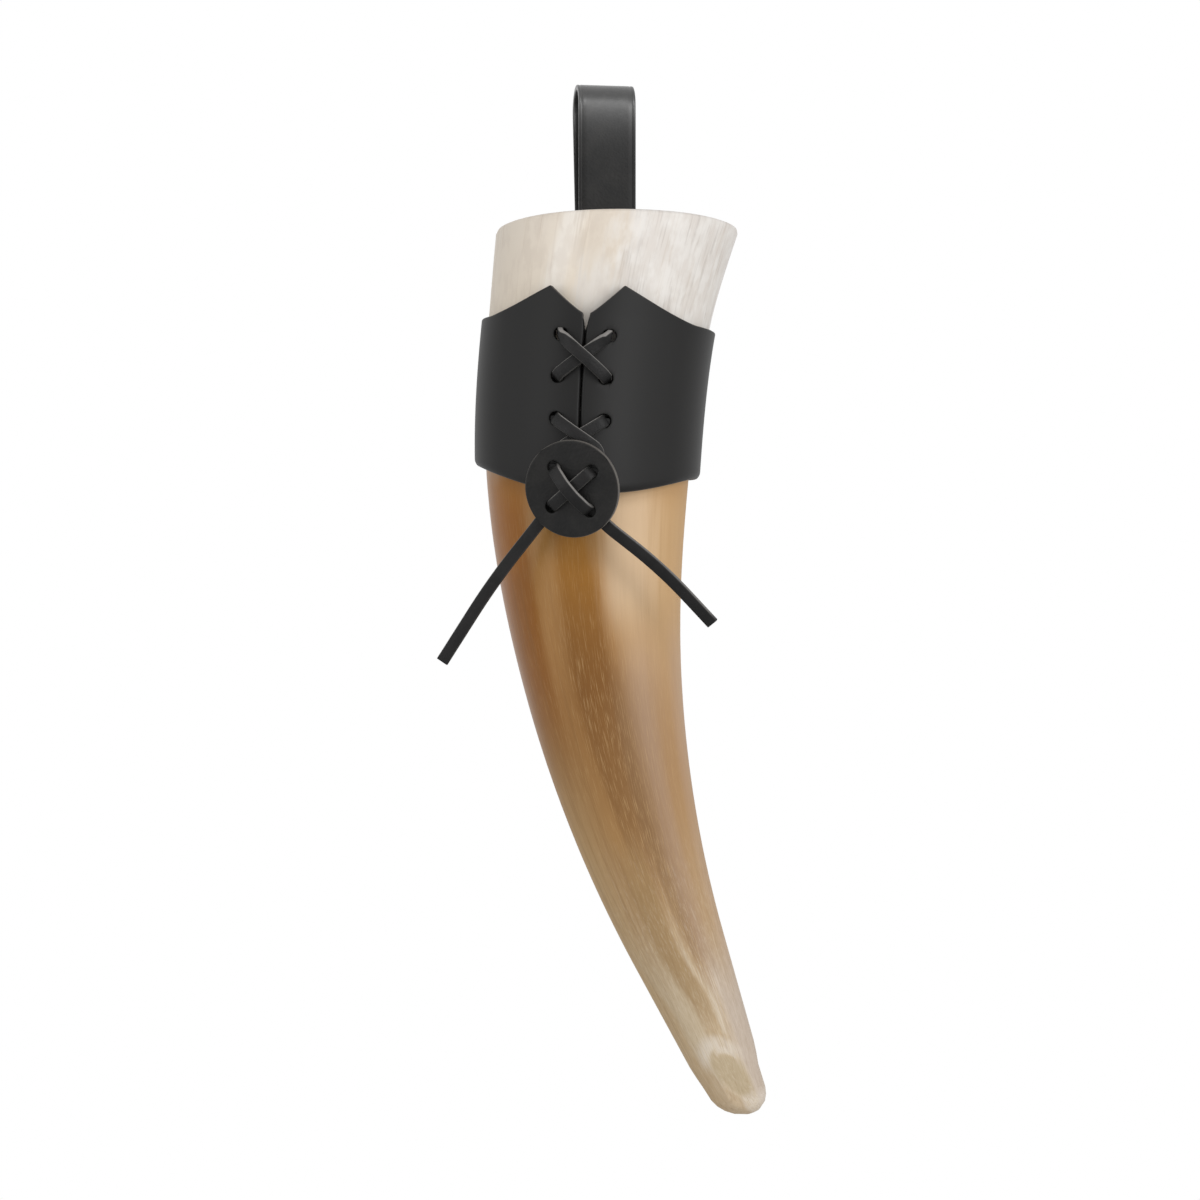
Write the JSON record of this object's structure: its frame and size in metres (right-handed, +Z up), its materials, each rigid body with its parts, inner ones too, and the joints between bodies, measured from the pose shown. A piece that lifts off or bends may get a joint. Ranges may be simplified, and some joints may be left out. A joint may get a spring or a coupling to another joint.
{
  "type": "drinking horn in a leather belt holder",
  "caption": "Hollow curved drinking horn in a black leather belt holder, laced at the front with a flat thong and a sliding button, hung from a riveted belt loop.",
  "frame": {"origin": "belt seat: the middle of the inner top of the belt loop's fold, where it rests on a belt", "axes": "+Z up, the way the part hangs; -Y is the laced front; the tip of the horn bends towards +X"},
  "size_m": [0.1077, 0.1039, 0.3521],
  "materials": {
    "horn": "satin",
    "leather": "matte",
    "thong": "satin",
    "rivet": "satin"
  },
  "bodies": {
    "holder": {"holder_band": "leather", "belt_loop": "leather", "rivet_post_upper": "rivet", "rivet_cap_upper": "rivet", "rivet_post_lower": "rivet", "rivet_cap_lower": "rivet", "lace_upper": "thong", "lace_strand_left": "thong", "lace_strand_right": "thong"},
    "horn": {"horn": "horn"},
    "button": {"button_disc": "leather", "lace_cross_over": "thong", "lace_cross_under": "thong", "lace_tail_left": "thong", "lace_tail_right": "thong"}
  },
  "joints": [
    {"name": "horn_draw", "type": "hinge", "parent": "holder", "child": "horn", "pos_m": [0.39949, -0.04586, -0.1409], "axis": [0, 1, 0], "range_deg": [0, 39.5]},
    {"name": "button_slide", "type": "slide", "parent": "holder", "child": "button", "axis": [0.0389, 0.0817, -0.9959], "range_m": [0, 0.015], "deforming": ["lace_strand_left", "lace_strand_right"]}
  ]
}
